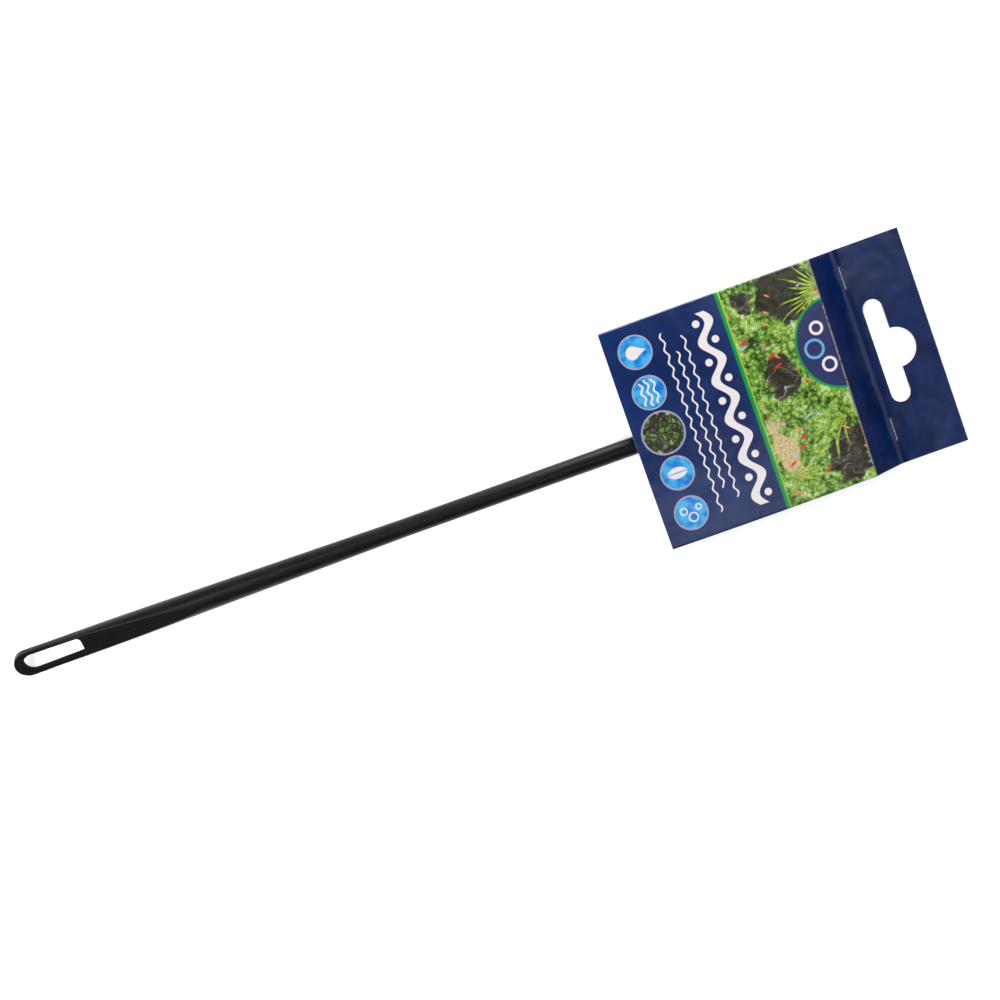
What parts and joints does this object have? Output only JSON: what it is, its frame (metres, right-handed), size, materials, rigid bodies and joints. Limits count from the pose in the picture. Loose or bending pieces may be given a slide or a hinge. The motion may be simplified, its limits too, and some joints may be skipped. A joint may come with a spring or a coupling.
{
  "type": "aquarium fish net",
  "caption": "Small hand net for moving aquarium fish: a slim black handle with a slotted eye, its mesh head folded flat inside a printed card sleeve with a hang tab.",
  "frame": {"origin": "middle of the object's box on the table that it lies on", "axes": "+X along the handle towards the hang tab, +Y across the sleeve, +Z out of the sleeve's printed front"},
  "size_m": [0.2892, 0.0668, 0.012],
  "materials": {
    "handle_plastic": "black moulded plastic, semi-gloss",
    "wire_steel": "drawn wire",
    "coating_plastic": "black dip coating",
    "tape_fabric": "black woven tape",
    "sewing_thread": "dark grey sewing thread",
    "net_mesh": "fine black knitted mesh",
    "printed_card": "printed navy card, gloss varnish",
    "plain_card": "bare grey-white board"
  },
  "bodies": {
    "sleeve": {"back_panel": "printed_card", "front_panel": "printed_card", "bevel_panel": "printed_card", "side_wall_left": "printed_card", "side_wall_right": "printed_card", "glue_flap": "plain_card"},
    "net": {"handle": "handle_plastic", "frame_wire": "wire_steel", "frame_coating": "coating_plastic", "hem_tape": "tape_fabric", "hem_stitching": "sewing_thread", "net_bag": "net_mesh", "bag_seam": "tape_fabric"},
    "hang_tab": {"tab_front_ply": "printed_card", "tab_back_ply": "printed_card"}
  },
  "joints": [
    {"name": "net_slide", "type": "slide", "parent": "sleeve", "child": "net", "axis": [-1, 0, 0], "range_m": [0, 0.073]},
    {"name": "tab_fold", "type": "hinge", "parent": "sleeve", "child": "hang_tab", "pos_m": [0.1244, 0, 0.0009], "axis": [0, -1, 0], "range_deg": [0, 120]}
  ]
}
